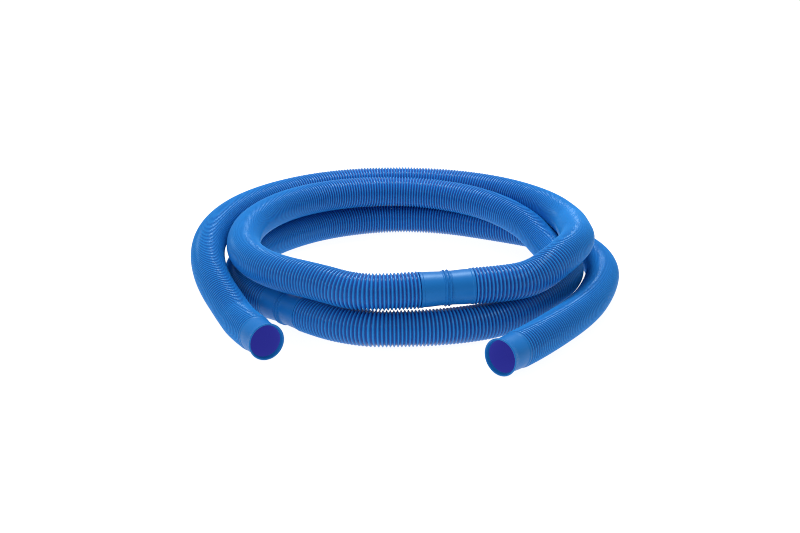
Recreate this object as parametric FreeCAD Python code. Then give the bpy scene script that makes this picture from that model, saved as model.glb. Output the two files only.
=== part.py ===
"""A corrugated vacuum hose for a pool or spa, lying in a loose coil of almost three turns.

Three lengths of hose are joined end to end by two pairs of cuffs, and each free end has a flared cuff.
Millimetres, +Z up. The origin is on the floor, under the middle of the coil's box.
"""
import FreeCAD, Part
import math
import os

from FreeCAD import Vector

# Hose, taken at the crests of its corrugations
CREST_RADIUS = 22.75
HOSE_BORE_RADIUS = 19.5          # inside of the corrugations' valleys
FLOOR_HEIGHT = CREST_RADIUS      # height of the centreline where the hose lies on the floor

# Cuffs: two end cuffs and four joining cuffs, all of one length
CUFF_LENGTH = 33.5
CUFF_BORE_RADIUS = 19.0          # pushes over a 38 mm spout
SEAT_LENGTH = 1.5                # the bore widens to the hose's over this length
COLLAR_RADIUS = 22.0             # low ring against the last corrugation
COLLAR_WIDTH = 3.0
COLLAR_SLOPE = 1.5               # length over which the ring falls to the sleeve
SLEEVE_RADIUS = 21.4             # the smooth sleeve narrows from this ...
NECK_RADIUS = 20.7               # ... to this
RIM_RADIUS = 22.5
RIDGE_CENTRE = 2.1               # from a joining cuff's ridge to the face that meets its partner
RIDGE_WIDTH = 2.4
GROOVE_RADIUS = 21.0             # bottom of the groove between two partners
FLARE_LENGTH = 8.0               # the free mouth opens over this length
MOUTH_RADIUS = 21.4
LIP_WIDTH = 2.0                  # the free rim keeps its full radius over this width

# The route: a coil that runs clockwise, seen from above. A face is (x, y, height, heading in degrees,
# slope): the free mouths, and the planes where two joining cuffs meet.
LEFT_MOUTH = (-180, -283, FLOOR_HEIGHT, 120.0, 0.0)
JOINT_1 = (33, -222, 69.7, -169.0, -0.012)
JOINT_2 = (-165, -160, FLOOR_HEIGHT, 135.0, 0.0)
RIGHT_MOUTH = (92, -333, FLOOR_HEIGHT, -131.0, 0.0)
END_LEAD = 34.0                  # straight run out of an end cuff
JOINT_LEAD = 38.0                # straight run out of a joining cuff ...
BENT_LEAD = 44.0                 # ... and the next one, which bends towards the coil's middle
JOINT_BEND = 16.0                # degrees
STATION_STEP = 20.0              # degrees round the coil from one station to the next
COIL_MIDDLE = Vector(14.3, 18.0, 0.0)   # puts the middle of the hose's box over the origin

# Each length's first angle, then (distance from the coil's middle, height) at its stations
ROUTE_1 = (220, [(297, 23), (289, 45), (288, 61), (290, 69), (296, 72), (300, 74), (297, 75),
                 (287, 74), (274, 72), (257, 69), (233, 69), (216, 79), (226, 87), (234, 85)])
ROUTE_2 = (-120, [(240, 72), (245, 71), (242, 70), (237, 70), (242, 70), (249, 72), (253, 72),
                  (250, 71), (240, 68), (225, 62), (212, 50), (198, 35), (204, 34), (213, 39),
                  (217, 36), (227, 23), (235, 23), (244, 23)])
ROUTE_3 = (-540, [(distance, FLOOR_HEIGHT) for distance in
                  (243, 251, 257, 267, 270, 262, 248, 259, 263, 259, 255, 270)])

ARC_SHARE = 0.45                 # each arc takes this share of the shorter run beside it


def place_of(face):
    """A face's centre and the direction of the hose through it."""
    x, y, height, heading, slope = face
    angle = math.radians(heading)
    return COIL_MIDDLE + Vector(x, y, height), Vector(math.cos(angle), math.sin(angle), slope).normalize()


def station(angle, distance, height):
    """A point of the route at an angle round the coil."""
    turn = math.radians(angle)
    return COIL_MIDDLE + Vector(distance * math.cos(turn), distance * math.sin(turn), height)


def leads(face, towards):
    """The route's points at a cuff's hose face, from the face outwards."""
    centre, way = place_of(face)
    way = way * towards
    neck = centre + way * CUFF_LENGTH
    if face in (LEFT_MOUTH, RIGHT_MOUTH):
        return [neck, neck + way * END_LEAD]
    straight = neck + way * JOINT_LEAD
    bent_way = FreeCAD.Rotation(Vector(0, 0, 1), -towards * JOINT_BEND).multVec(way)
    return [neck, straight, straight + bent_way * BENT_LEAD]


def route(start_face, stations, end_face):
    """The route's points from the cuff at one face to the cuff at the next."""
    first_angle, places = stations
    points = leads(start_face, 1)
    for count, (distance, height) in enumerate(places):
        points.append(station(first_angle - count * STATION_STEP, distance, height))
    return points + leads(end_face, -1)[::-1]


def rounded(points):
    """A wire of straight runs joined by tangent arcs, and the arcs' radii."""
    edges = []
    radii = []
    here = points[0]
    for before, corner, after in zip(points, points[1:], points[2:]):
        way_in = (corner - before).normalize()
        way_out = (after - corner).normalize()
        half_turn = way_in.getAngle(way_out) / 2
        reach = ARC_SHARE * min(corner.distanceToPoint(before), corner.distanceToPoint(after))
        radius = reach / math.tan(half_turn)
        start = corner - way_in * reach
        end = corner + way_out * reach
        inward = (way_out - way_in).normalize()
        middle = corner + inward * (radius / math.cos(half_turn) - radius)
        edges.append(Part.LineSegment(here, start).toShape())
        edges.append(Part.Arc(start, middle, end).toShape())
        radii.append(radius)
        here = end
    edges.append(Part.LineSegment(here, points[-1]).toShape())
    return Part.Wire(edges), radii


def hose(name, points):
    """One length of hose: a hollow tube along its rounded route."""
    path, radii = rounded(points)
    way = (points[1] - points[0]).normalize()
    rings = [Part.Wire(Part.Circle(points[0], way, radius).toShape())
             for radius in (CREST_RADIUS, HOSE_BORE_RADIUS)]
    solid = path.makePipe(Part.Face(rings, "Part::FaceMakerBullseye"))
    section = math.pi * (CREST_RADIUS ** 2 - HOSE_BORE_RADIUS ** 2)
    print(name, "length", round(path.Length), "volume / (section x length)",
          round(solid.Volume / (section * path.Length), 4), "radii", [round(radius) for radius in radii])
    return solid


def revolved(start, steps, face, towards):
    """A ring about the hose's axis at a face. Its outline is in (distance from the face, radius)."""
    edges = []
    here = Vector(start[1], 0, start[0])
    for step in steps:
        points = [Vector(radius, 0, along) for along, radius in step]
        maker = Part.Arc if len(points) == 2 else Part.LineSegment
        edges.append(maker(here, *points).toShape())
        here = points[-1]
    solid = Part.Face(Part.Wire(edges)).revolve(Vector(), Vector(0, 0, 1), 360)
    centre, way = place_of(face)
    solid.Placement = FreeCAD.Placement(centre, FreeCAD.Rotation(Vector(0, 0, 1), way * towards))
    return solid


def sleeve_steps(neck_end):
    """The outline shared by all cuffs: neck, tapering sleeve, low ring, hose face, seat and bore."""
    ring_start = CUFF_LENGTH - COLLAR_WIDTH
    return [[(ring_start - COLLAR_SLOPE, SLEEVE_RADIUS)],
            [(ring_start, COLLAR_RADIUS)],
            [(CUFF_LENGTH, COLLAR_RADIUS)],
            [(CUFF_LENGTH, HOSE_BORE_RADIUS)],
            [(CUFF_LENGTH - SEAT_LENGTH, CUFF_BORE_RADIUS)],
            [(neck_end, CUFF_BORE_RADIUS)]]


def joining_cuff(face, towards):
    """Half of a joint: a sleeve whose meeting face has a rounded ridge beside the shared groove."""
    near = RIDGE_CENTRE - RIDGE_WIDTH / 2
    far = RIDGE_CENTRE + RIDGE_WIDTH / 2
    steps = [[(near, GROOVE_RADIUS)],
             [(RIDGE_CENTRE, RIM_RADIUS), (far, GROOVE_RADIUS)],
             [(far + RIDGE_WIDTH, NECK_RADIUS)]]
    return revolved((0, GROOVE_RADIUS), steps + sleeve_steps(0) + [[(0, GROOVE_RADIUS)]], face, towards)


def end_cuff(face, towards):
    """A free end: a sleeve that flares into an open mouth with a thin rim."""
    flare_middle = (FLARE_LENGTH * 0.5, CUFF_BORE_RADIUS + (MOUTH_RADIUS - CUFF_BORE_RADIUS) * 0.25)
    rise_middle = (LIP_WIDTH + FLARE_LENGTH * 0.5, NECK_RADIUS + (RIM_RADIUS - NECK_RADIUS) * 0.25)
    steps = [[(0, RIM_RADIUS)],
             [(LIP_WIDTH, RIM_RADIUS)],
             [rise_middle, (LIP_WIDTH + FLARE_LENGTH, NECK_RADIUS)]]
    close = [[flare_middle, (0, MOUTH_RADIUS)]]
    return revolved((0, MOUTH_RADIUS), steps + sleeve_steps(FLARE_LENGTH) + close, face, towards)


def all_pieces():
    """Every piece by name, from the left mouth to the right one."""
    return {
        "end_cuff_left": end_cuff(LEFT_MOUTH, 1),
        "hose_section_1": hose("hose_section_1", route(LEFT_MOUTH, ROUTE_1, JOINT_1)),
        "joint_cuff_1a": joining_cuff(JOINT_1, -1),
        "joint_cuff_1b": joining_cuff(JOINT_1, 1),
        "hose_section_2": hose("hose_section_2", route(JOINT_1, ROUTE_2, JOINT_2)),
        "joint_cuff_2a": joining_cuff(JOINT_2, -1),
        "joint_cuff_2b": joining_cuff(JOINT_2, 1),
        "hose_section_3": hose("hose_section_3", route(JOINT_2, ROUTE_3, RIGHT_MOUTH)),
        "end_cuff_right": end_cuff(RIGHT_MOUTH, -1),
    }


os.makedirs("parts", exist_ok=True)
box = FreeCAD.BoundBox()
for node, shape in all_pieces().items():
    shape.exportStep("parts/" + node + ".step")
    box.add(shape.BoundBox)
print("box", [round(value, 2) for value in (box.XMin, box.XMax, box.YMin, box.YMax, box.ZMin, box.ZMax)])
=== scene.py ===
"""A corrugated pool vacuum hose in a loose coil of almost three turns.

Metres, +Z up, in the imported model's frame. Three lengths of ringed hose are joined by two pairs of
cuffs, and each free end has a flared cuff.
"""

import math

import bpy
import numpy as np
from mathutils import Matrix, Vector


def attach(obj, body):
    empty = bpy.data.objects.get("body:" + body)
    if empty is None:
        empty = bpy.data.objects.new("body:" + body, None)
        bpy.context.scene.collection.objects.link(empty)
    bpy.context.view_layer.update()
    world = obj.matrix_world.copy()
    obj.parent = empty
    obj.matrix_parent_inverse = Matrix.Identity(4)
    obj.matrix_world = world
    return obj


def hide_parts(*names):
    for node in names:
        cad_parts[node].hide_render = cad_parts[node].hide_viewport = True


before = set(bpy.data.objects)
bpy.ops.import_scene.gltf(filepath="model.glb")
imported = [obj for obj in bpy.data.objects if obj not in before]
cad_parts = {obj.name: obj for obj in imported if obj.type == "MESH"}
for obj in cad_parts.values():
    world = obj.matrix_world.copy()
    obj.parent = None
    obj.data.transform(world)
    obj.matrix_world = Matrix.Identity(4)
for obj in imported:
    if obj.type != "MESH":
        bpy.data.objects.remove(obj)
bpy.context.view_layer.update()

# ---------------------------------------------------------------- sizes
# The CAD model has the same, but for its bore between the rings, its ridges, groove, mouths and low
# ring's slope, which are 0.1 to 0.4 mm off. It has no rings.
CREST_RADIUS = 0.02275           # hose, at the crests of its rings
VALLEY_RADIUS = 0.0200           # hose, between its rings
WALL = 0.0009                    # thickness of the blown wall
RING_PITCH = 0.0045
FLOOR_HEIGHT = CREST_RADIUS      # height of the centreline where the hose lies on the floor

CUFF_LENGTH = 0.0335
CUFF_BORE_RADIUS = 0.0190
COLLAR_RADIUS = 0.0220           # low ring against the hose's last ring
COLLAR_WIDTH = 0.003
SLEEVE_RADIUS = 0.0214           # the smooth sleeve narrows from this ...
NECK_RADIUS = 0.0207             # ... to this
RIM_RADIUS = 0.0225
RIDGE_CENTRE = 0.0023            # from the middle of a joining cuff's ridge to its partner's face
RIDGE_WIDTH = 0.0026
GROOVE_RADIUS = 0.0209           # bottom of the groove between two partners
FLARE_LENGTH = 0.008             # the free mouth opens over this length
MOUTH_RADIUS = 0.0211            # inside the rolled rim

# ---------------------------------------------------------------- route, as the CAD model has it
# A face is (x, y, height, heading in degrees, slope): the free mouths and the joints' meeting planes.
LEFT_MOUTH = (-0.180, -0.283, FLOOR_HEIGHT, 120.0, 0.0)
JOINT_1 = (0.033, -0.222, 0.0697, -169.0, -0.012)
JOINT_2 = (-0.165, -0.160, FLOOR_HEIGHT, 135.0, 0.0)
RIGHT_MOUTH = (0.092, -0.333, FLOOR_HEIGHT, -131.0, 0.0)
END_LEAD = 0.034                 # straight run out of an end cuff
JOINT_LEAD = 0.038               # straight run out of a joining cuff ...
BENT_LEAD = 0.044                # ... and the next one, which bends towards the coil's middle
JOINT_BEND = math.radians(16)
STATION_STEP = 20.0              # degrees round the coil from one station to the next
COIL_MIDDLE = Vector((0.0143, 0.0180, 0.0))

MM_IN_METRE = 1000

# Each length's first angle, then (distance from the coil's middle, height) at its stations, in mm
ROUTE_1 = (220, [(297, 23), (289, 45), (288, 61), (290, 69), (296, 72), (300, 74), (297, 75),
                 (287, 74), (274, 72), (257, 69), (233, 69), (216, 79), (226, 87), (234, 85)])
ROUTE_2 = (-120, [(240, 72), (245, 71), (242, 70), (237, 70), (242, 70), (249, 72), (253, 72),
                  (250, 71), (240, 68), (225, 62), (212, 50), (198, 35), (204, 34), (213, 39),
                  (217, 36), (227, 23), (235, 23), (244, 23)])
ROUTE_3 = (-540, [(distance, FLOOR_HEIGHT * MM_IN_METRE) for distance in
                  (243, 251, 257, 267, 270, 262, 248, 259, 263, 259, 255, 270)])


def place_of(face):
    """A face's centre and the direction of the hose through it."""
    x, y, height, heading, slope = face
    angle = math.radians(heading)
    way = Vector((math.cos(angle), math.sin(angle), slope)).normalized()
    return COIL_MIDDLE + Vector((x, y, height)), way


def leads(face, towards):
    """The route's points at a cuff's hose face, from the face outwards."""
    centre, way = place_of(face)
    way = way * towards
    neck = centre + way * CUFF_LENGTH
    if face in (LEFT_MOUTH, RIGHT_MOUTH):
        return [neck, neck + way * END_LEAD]
    straight = neck + way * JOINT_LEAD
    bent_way = Matrix.Rotation(-towards * JOINT_BEND, 3, "Z") @ way
    return [neck, straight, straight + bent_way * BENT_LEAD]


def route(start_face, stations, end_face):
    """The route's points from the cuff at one face to the cuff at the next."""
    first_angle, places = stations
    points = leads(start_face, 1)
    for count, (distance, height) in enumerate(places):
        turn = math.radians(first_angle - count * STATION_STEP)
        flat = Vector((math.cos(turn), math.sin(turn), 0.0)) * distance / MM_IN_METRE
        points.append(COIL_MIDDLE + flat + Vector((0.0, 0.0, height / MM_IN_METRE)))
    return points + leads(end_face, -1)[::-1]


# ---------------------------------------------------------------- camera
CAMERA_PLACE = (-0.0084, -1.7677, 0.5943)
CAMERA_PITCH = math.radians(17.64)   # how far it looks down
CAMERA_LENS = 61.15                  # millimetres, as is the sensor
SENSOR_WIDTH = 36.0
FAR_CLIP = 100.0


def make_camera():
    """The photograph's view: along +Y and a little down, with no tilt to the side."""
    data = bpy.data.cameras.new("camera")
    data.sensor_width = SENSOR_WIDTH
    data.lens = CAMERA_LENS
    data.clip_end = FAR_CLIP
    camera = bpy.data.objects.new("camera", data)
    camera.location = CAMERA_PLACE
    camera.rotation_euler = (math.pi / 2 - CAMERA_PITCH, 0.0, 0.0)
    bpy.context.collection.objects.link(camera)
    bpy.context.scene.camera = camera


# ---------------------------------------------------------------- lines and meshes
CURVE_ORDER = 3                  # bends smoothly inside the route's corners
CURVE_STEPS = 32                 # points of the smooth line for each of the route's
SAME_PLACE = 1e-7                # points closer than this count as one


def smooth_line(name, points):
    """The even, smooth line whose control points are a route's points."""
    curve = bpy.data.curves.new(name, "CURVE")
    curve.dimensions = "3D"
    spline = curve.splines.new("NURBS")
    spline.points.add(len(points) - 1)
    for knot, point in zip(spline.points, points):
        knot.co = (*point, 1.0)
    spline.order_u = CURVE_ORDER
    spline.use_endpoint_u = True
    spline.resolution_u = CURVE_STEPS
    holder = bpy.data.objects.new(name, curve)
    mesh = bpy.data.meshes.new_from_object(holder)
    line = np.array([vertex.co for vertex in mesh.vertices])
    bpy.data.objects.remove(holder)
    bpy.data.curves.remove(curve)
    bpy.data.meshes.remove(mesh)
    return line


class Line:
    """A line that is read by the distance along it, with a frame that doesn't twist."""

    def __init__(self, points):
        steps = np.linalg.norm(np.diff(points, axis=0), axis=1)
        keep = np.concatenate([[True], steps > SAME_PLACE])
        self.points = points[keep]
        steps = np.linalg.norm(np.diff(self.points, axis=0), axis=1)
        self.along = np.concatenate([[0.0], np.cumsum(steps)])
        self.length = float(self.along[-1])
        ways = np.gradient(self.points, self.along, axis=0)
        self.ways = ways / np.linalg.norm(ways, axis=1)[:, None]
        side = np.cross(self.ways[0], (0.0, 0.0, 1.0))
        sides = []
        for way in self.ways:
            side = side - way * side.dot(way)
            side = side / np.linalg.norm(side)
            sides.append(side)
        self.sides = np.array(sides)

    def at(self, distances, rows):
        """Values of a per-point array at distances along the line."""
        return np.stack([np.interp(distances, self.along, rows[:, axis]) for axis in range(3)], axis=1)

    def frames(self, distances):
        """Centres and unit side and up directions at distances along the line."""
        centres = self.at(distances, self.points)
        ways = self.at(distances, self.ways)
        ways /= np.linalg.norm(ways, axis=1)[:, None]
        sides = self.at(distances, self.sides)
        sides -= ways * (sides * ways).sum(axis=1)[:, None]
        sides /= np.linalg.norm(sides, axis=1)[:, None]
        return centres, sides, np.cross(sides, ways)


def swept(name, line, rows, segments, bore_rows):
    """A closed skin round a line. Its rows are (distance, radius), out along the outside, back inside.

    The faces from one of the two bore rows to the other take the piece's second material.
    """
    distances = np.array([row[0] for row in rows])
    radii = np.array([row[1] for row in rows])
    centres, sides, ups = line.frames(distances)
    angles = np.linspace(0.0, 2 * math.pi, segments, endpoint=False)
    across = np.cos(angles)[None, :, None] * sides[:, None]
    upwards = np.sin(angles)[None, :, None] * ups[:, None]
    vertices = centres[:, None] + radii[:, None, None] * (across + upwards)
    row = np.arange(len(rows))[:, None]
    column = np.arange(segments)[None, :]
    next_row = (row + 1) % len(rows)
    next_column = (column + 1) % segments
    faces = np.stack([row * segments + column, next_row * segments + column,
                      next_row * segments + next_column, row * segments + next_column], axis=2)
    mesh = bpy.data.meshes.new(name)
    mesh.from_pydata(vertices.reshape(-1, 3).tolist(), [], faces.reshape(-1, 4).tolist())
    bore_start, bore_end = bore_rows
    mesh.polygons.foreach_set("material_index", [
        int(bore_start <= face // segments < bore_end) for face in range(len(rows) * segments)])
    mesh.shade_smooth()
    mesh.update()
    piece = bpy.data.objects.new(name, mesh)
    bpy.context.collection.objects.link(piece)
    return piece


# ---------------------------------------------------------------- hose
HOSE_SEGMENTS = 42
# One ring of the hose, from valley to valley: (share of the pitch, share of the depth)
RING_SHAPE = [(0.0, 0.0), (0.19, 0.30), (0.35, 0.82), (0.50, 1.0), (0.65, 0.82), (0.81, 0.30)]
INSIDE_STEP = 0.012              # the plain bore has a row this often
OPEN_RINGS = 16                  # rings whose inside can be seen through a free mouth


def ring_rows(first, last, pitch, inwards):
    """Rows of the rings from one valley to another, moved in by a wall's thickness if asked."""
    depth = CREST_RADIUS - VALLEY_RADIUS
    base = VALLEY_RADIUS - inwards
    return [((ring + share) * pitch, base + depth * height)
            for ring in range(first, last) for share, height in RING_SHAPE]


def hose_rows(length, open_start, open_end):
    """Rows out along the outside and back inside, and where the inside ones begin and end.

    The bore has rings only near a free mouth. Elsewhere it is plain, because nothing shows it.
    """
    count = round(length / RING_PITCH)
    pitch = length / count
    outside = ring_rows(0, count, pitch, 0.0) + [(length, VALLEY_RADIUS)]
    seen_first = OPEN_RINGS if open_start else 0
    seen_last = count - OPEN_RINGS if open_end else count
    bore = VALLEY_RADIUS - WALL
    plain = np.arange(seen_first * pitch, seen_last * pitch, INSIDE_STEP)
    inside = ring_rows(0, seen_first, pitch, WALL)
    inside += [(float(distance), bore) for distance in plain]
    inside += ring_rows(seen_last, count, pitch, WALL) + [(length, bore)]
    return outside + inside[::-1], (len(outside), len(outside) + len(inside))


def make_hose(name, faces, stations, open_start=False, open_end=False):
    """One length of ringed hose between two faces' cuffs."""
    line = Line(smooth_line(name, route(faces[0], stations, faces[1])))
    rows, bore = hose_rows(line.length, open_start, open_end)
    hose = swept(name, line, rows, HOSE_SEGMENTS, bore)
    # Each row's depth in its groove, which sets how much painted shade it takes.
    depths = [(CREST_RADIUS - radius) / (CREST_RADIUS - VALLEY_RADIUS) for distance, radius in rows]
    grooves = hose.data.attributes.new("groove", "FLOAT", "POINT")
    grooves.data.foreach_set("value", np.repeat(np.clip(depths, 0.0, 1.0), HOSE_SEGMENTS))
    return hose, line


# ---------------------------------------------------------------- cuffs
CUFF_SEGMENTS = 96
CUFF_STEP = 0.0003               # a cuff's outline has a point this often ...
INSIDE_THINNING = 3              # ... and its inside one for every so many of these
# The inside's material is dark, with a painted glow in place of the light that comes through the wall.
BELL_LENGTH = 0.0055             # the bore takes the inside's own colour from this far in

# Distances along a cuff are from its mouth, or from the face that meets its partner
TAPER_START = 0.004              # the sleeve widens from here ...
TAPER_END = 0.024                # ... to here
COLLAR_SLOPE = 0.0012            # length over which the low ring falls to the sleeve
COLLAR_EDGE = 0.0006             # its corner against the hose is rounded over this length ...
COLLAR_EDGE_DROP = 0.0004        # ... and by this much

HAIRLINE_DEPTH = 0.0003          # of the hairline groove behind a joint's ridge
HAIRLINE_START = 0.0030          # it falls from here ...
HAIRLINE_BOTTOM = 0.0038         # ... to here
SHOULDER_START = 0.0043          # the surface climbs to the sleeve from here ...
SHOULDER_END = 0.0050            # ... to here
SHOULDER_MIDDLE = 0.0054         # the sleeve starts with a raised line
SHOULDER_WIDTH = 0.0012
SHOULDER_HEIGHT = 0.0003

LIP_LENGTH = 0.0006              # the mouth's corner is rounded over this length ...
LIP_DROP = 0.0005                # ... and by this much
RIM_MIDDLE = 0.0010              # the mouth's thin rim
RIM_WIDTH = 0.0020
RIM_HEIGHT = 0.0003
FLARE_TAIL = 0.002               # outside, the flare is longer than inside by this much
FLARE_POWER = 1.3                # how fast it falls outside ...
BELL_POWER = 1.6                 # ... and inside
MOUTH_LINES = (0.0034, 0.0058, 0.0082)   # fine raised lines behind the rim
MOUTH_LINE_WIDTH = 0.0011
MOUTH_LINE_HEIGHT = 0.00022


def rise(value, start, end):
    """0 before start, 1 after end, and a smooth curve between them."""
    share = min(max((value - start) / (end - start), 0.0), 1.0)
    return share * share * (3 - 2 * share)


def bump(value, middle, width):
    """A round-topped bump of height 1."""
    share = min(abs(value - middle) / (width / 2), 1.0)
    return (1 - share * share) ** 1.5


def sleeve_radius(distance):
    """The smooth sleeve, which widens from its neck to the low ring against the hose."""
    collar_start = CUFF_LENGTH - COLLAR_WIDTH
    collar = rise(distance, collar_start - COLLAR_SLOPE, collar_start)
    edge = rise(distance, CUFF_LENGTH - COLLAR_EDGE, CUFF_LENGTH)
    sleeve = NECK_RADIUS + (SLEEVE_RADIUS - NECK_RADIUS) * rise(distance, TAPER_START, TAPER_END)
    return sleeve + (COLLAR_RADIUS - SLEEVE_RADIUS) * collar - COLLAR_EDGE_DROP * edge


def joint_outside(distance):
    """A joining cuff: half the groove, a ridge, a hairline groove, a raised line and the sleeve."""
    sleeve = sleeve_radius(distance) + SHOULDER_HEIGHT * bump(distance, SHOULDER_MIDDLE, SHOULDER_WIDTH)
    start = rise(distance, SHOULDER_START, SHOULDER_END)
    low = GROOVE_RADIUS - HAIRLINE_DEPTH * rise(distance, HAIRLINE_START, HAIRLINE_BOTTOM)
    ridge = (RIM_RADIUS - GROOVE_RADIUS) * bump(distance, RIDGE_CENTRE, RIDGE_WIDTH)
    return low + (sleeve - low) * start + ridge


def end_outside(distance):
    """An end cuff: a thin rim, a flare with fine raised lines, and the sleeve."""
    fall = 1 - rise(distance, LIP_LENGTH, FLARE_LENGTH + FLARE_TAIL)
    flare = (RIM_RADIUS - NECK_RADIUS) * fall ** FLARE_POWER
    lip = LIP_DROP * (1 - rise(distance, 0.0, LIP_LENGTH))
    lines = sum(bump(distance, middle, MOUTH_LINE_WIDTH) for middle in MOUTH_LINES)
    rim = RIM_HEIGHT * bump(distance, RIM_MIDDLE, RIM_WIDTH)
    return sleeve_radius(distance) + flare - lip + MOUTH_LINE_HEIGHT * lines + rim


def end_inside(distance):
    """The bell inside a free mouth, then the straight bore."""
    fall = 1 - min(distance / FLARE_LENGTH, 1.0)
    return CUFF_BORE_RADIUS + (MOUTH_RADIUS - CUFF_BORE_RADIUS) * fall ** BELL_POWER


def joint_inside(distance):
    """A joining cuff's plain bore."""
    return CUFF_BORE_RADIUS


def make_cuff(name, face, towards, outside, inside):
    """A cuff about the hose's axis, from its face to the hose."""
    centre, way = place_of(face)
    ends = np.array([centre, centre + way * towards * CUFF_LENGTH])
    distances = np.linspace(0.0, CUFF_LENGTH, round(CUFF_LENGTH / CUFF_STEP) + 1)
    rows = [(distance, outside(distance)) for distance in distances]
    back = distances[::-1][::INSIDE_THINNING]
    rows += [(distance, inside(distance)) for distance in back]
    deep = sum(distance > BELL_LENGTH for distance in back)
    return swept(name, Line(ends), rows, CUFF_SEGMENTS, (len(distances), len(distances) + deep))


# ---------------------------------------------------------------- materials
HOSE_COLOURS = ((0.018, 0.250, 0.70), (0.015, 0.215, 0.63))   # the mottling's light and dark
CUFF_COLOURS = ((0.009, 0.160, 0.50), (0.008, 0.140, 0.45))
# Painted shade: the grooves' darkness is painted into the hose's base colour, deepest at the bottom of
# a groove.
GROOVE_SHADE_COLOUR = (0.018, 0.030, 0.24)
GROOVE_SHADE_SHARE = 0.95              # how much of it the bottom of a groove takes
HOSE_ROUGHNESS = 0.25
CUFF_ROUGHNESS = 0.40
WHITE = (1.0, 1.0, 1.0, 1.0)


def new_material(name):
    """A node material and its shader."""
    material = bpy.data.materials.new(name)
    material.use_nodes = True
    return material, material.node_tree.nodes["Principled BSDF"]


def set_inputs(node, values):
    """Sets a node's inputs by their names."""
    for name, value in values.items():
        node.inputs[name].default_value = value


def new_mix(tree):
    """A colour mix."""
    mix = tree.nodes.new("ShaderNodeMix")
    mix.data_type = "RGBA"
    return mix


def paint_groove_shade(material, colour, share):
    """Paints shade into the base colour, darker towards the bottom of the grooves between the rings."""
    tree = material.node_tree
    shader = tree.nodes["Principled BSDF"]
    groove = tree.nodes.new("ShaderNodeAttribute")
    groove.attribute_name = "groove"
    part = tree.nodes.new("ShaderNodeMath")
    part.operation = "MULTIPLY"
    part.inputs[1].default_value = share
    tree.links.new(groove.outputs["Fac"], part.inputs[0])
    mix = new_mix(tree)
    tree.links.new(part.outputs["Value"], mix.inputs["Factor"])
    tree.links.new(shader.inputs["Base Color"].links[0].from_socket, mix.inputs["A"])
    mix.inputs["B"].default_value = (*colour, 1.0)
    tree.links.new(mix.outputs["Result"], shader.inputs["Base Color"])


def bore_glow_blue(name):
    """The inside: the same plastic, dark, with a painted glow that stands in for the light that comes
    through its thin wall.
    """
    material, shader = new_material(name)
    set_inputs(shader, {
        "Base Color": (0.012, 0.014, 0.12, 1.0),
        "Roughness": 0.8,
        "Specular IOR Level": 0.1,
        # Painted light: the inside glows though it is no lamp.
        "Emission Color": (0.10, 0.11, 1.0, 1.0),
        "Emission Strength": 0.22,
    })
    return material


def hose_plastic(name, colours, roughness):
    """Blue flexible plastic: faint mottling, fine surface grain and a satin sheen."""
    material, shader = new_material(name)
    tree = material.node_tree
    colour, dark = colours
    place = tree.nodes.new("ShaderNodeTexCoord")
    mottle = tree.nodes.new("ShaderNodeTexNoise")
    set_inputs(mottle, {"Scale": 18.0, "Detail": 4.0})
    tree.links.new(place.outputs["Object"], mottle.inputs["Vector"])
    mix = new_mix(tree)
    set_inputs(mix, {"A": (*dark, 1.0), "B": (*colour, 1.0)})
    tree.links.new(mottle.outputs["Fac"], mix.inputs["Factor"])
    tree.links.new(mix.outputs["Result"], shader.inputs["Base Color"])
    grain = tree.nodes.new("ShaderNodeTexNoise")
    set_inputs(grain, {"Scale": 900.0})
    tree.links.new(place.outputs["Object"], grain.inputs["Vector"])
    relief = tree.nodes.new("ShaderNodeBump")
    set_inputs(relief, {"Strength": 0.08, "Distance": 0.0002})
    tree.links.new(grain.outputs["Fac"], relief.inputs["Height"])
    tree.links.new(relief.outputs["Normal"], shader.inputs["Normal"])
    set_inputs(shader, {
        "Roughness": roughness,
        "Specular IOR Level": 0.28,
        "Specular Tint": (0.45, 0.80, 1.0, 1.0),
    })
    return material


def floor_white(name):
    """A plain white floor. Most of its light is its own, so that shadows on it stay faint."""
    material, shader = new_material(name)
    set_inputs(shader, {
        "Base Color": (0.20, 0.20, 0.20, 1.0),
        "Roughness": 0.9,
        "Specular IOR Level": 0.1,
        "Emission Color": WHITE,
        "Emission Strength": 0.94,
    })
    return material


# ---------------------------------------------------------------- stage and light
FLOOR_HALF = 20.0                # half the floor's side
SURROUND_STRENGTH = 0.5


def make_floor():
    """A wide floor that the hose lies on."""
    corners = [(-FLOOR_HALF, -FLOOR_HALF, 0), (FLOOR_HALF, -FLOOR_HALF, 0),
               (FLOOR_HALF, FLOOR_HALF, 0), (-FLOOR_HALF, FLOOR_HALF, 0)]
    mesh = bpy.data.meshes.new("floor")
    mesh.from_pydata(corners, [], [(0, 1, 2, 3)])
    floor = bpy.data.objects.new("floor", mesh)
    floor.data.materials.append(floor_white("floor_white"))
    bpy.context.collection.objects.link(floor)


def softbox(name, place, size, power):
    """A square soft light that points at the origin."""
    data = bpy.data.lights.new(name, "AREA")
    data.shape = "SQUARE"
    data.size = size
    data.energy = power
    light = bpy.data.objects.new(name, data)
    light.location = place
    light.rotation_euler = (-Vector(place)).to_track_quat("-Z", "Y").to_euler()
    bpy.context.collection.objects.link(light)


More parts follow.
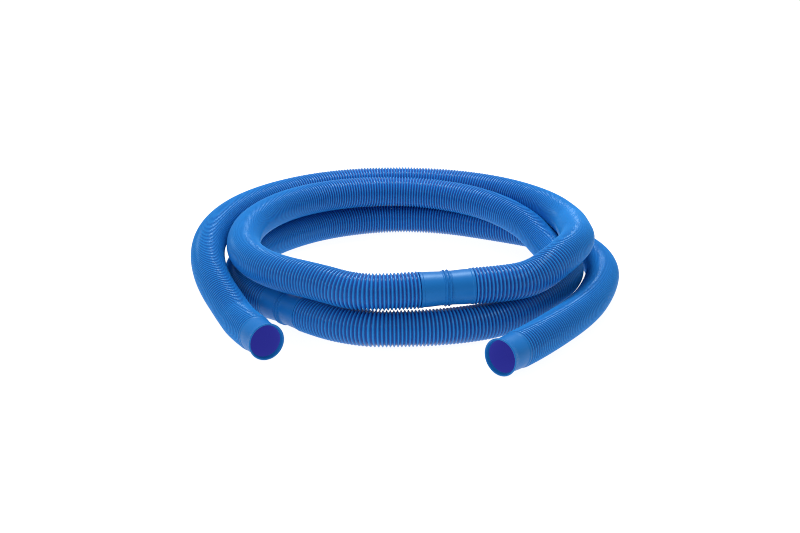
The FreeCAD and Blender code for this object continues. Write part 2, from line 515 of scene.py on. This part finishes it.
def make_light():
    """A softbox overhead and behind, a smaller one at the left in front, and an even surround."""
    world = bpy.data.worlds.new("world")
    world.use_nodes = True
    set_inputs(world.node_tree.nodes["Background"], {"Color": WHITE, "Strength": SURROUND_STRENGTH})
    bpy.context.scene.world = world
    softbox("top_light", place=(0.2, 0.7, 2.2), size=0.8, power=52.0)
    softbox("side_light", place=(-2.0, -1.6, 1.3), size=0.6, power=15.0)


# ---------------------------------------------------------------- build
def dress(piece, material, slot, *nodes):
    """Gives a piece its material, the inside's as its second, and its place in the model."""
    piece.data.materials.append(material)
    piece.data.materials.append(inside_glow_blue)
    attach(piece, "root")
    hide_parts(*nodes)


make_camera()
bpy.context.scene.view_settings.view_transform = "Standard"
bpy.context.scene.cycles.filter_width = 1.0
inside_glow_blue = bore_glow_blue("inside_glow_blue")
hose_blue = hose_plastic("hose_blue", HOSE_COLOURS, HOSE_ROUGHNESS)
paint_groove_shade(hose_blue, GROOVE_SHADE_COLOUR, GROOVE_SHADE_SHARE)
cuff_blue = hose_plastic("cuff_blue", CUFF_COLOURS, CUFF_ROUGHNESS)

CUFFS = {
    "end_cuff_left": (LEFT_MOUTH, 1, end_outside, end_inside),
    "joint_cuff_1a": (JOINT_1, -1, joint_outside, joint_inside),
    "joint_cuff_1b": (JOINT_1, 1, joint_outside, joint_inside),
    "joint_cuff_2a": (JOINT_2, -1, joint_outside, joint_inside),
    "joint_cuff_2b": (JOINT_2, 1, joint_outside, joint_inside),
    "end_cuff_right": (RIGHT_MOUTH, -1, end_outside, end_inside),
}
cuffs = {}
for node, (face, towards, outside, inside) in CUFFS.items():
    cuffs[node] = make_cuff("shown_" + node, face, towards, outside, inside)
    dress(cuffs[node], cuff_blue, "blue_cuff", node)

HOSES = {
    "hose_section_1": (LEFT_MOUTH, ROUTE_1, JOINT_1, ("end_cuff_left", "joint_cuff_1a")),
    "hose_section_2": (JOINT_1, ROUTE_2, JOINT_2, ("joint_cuff_1b", "joint_cuff_2a")),
    "hose_section_3": (JOINT_2, ROUTE_3, RIGHT_MOUTH, ("joint_cuff_2b", "end_cuff_right")),
}
for node, (start, stations, end, ends) in HOSES.items():
    hose, line = make_hose("shown_" + node, (start, end), stations,
                           open_start=start == LEFT_MOUTH, open_end=end == RIGHT_MOUTH)
    dress(hose, hose_blue, "blue_hose", node)

make_floor()
make_light()
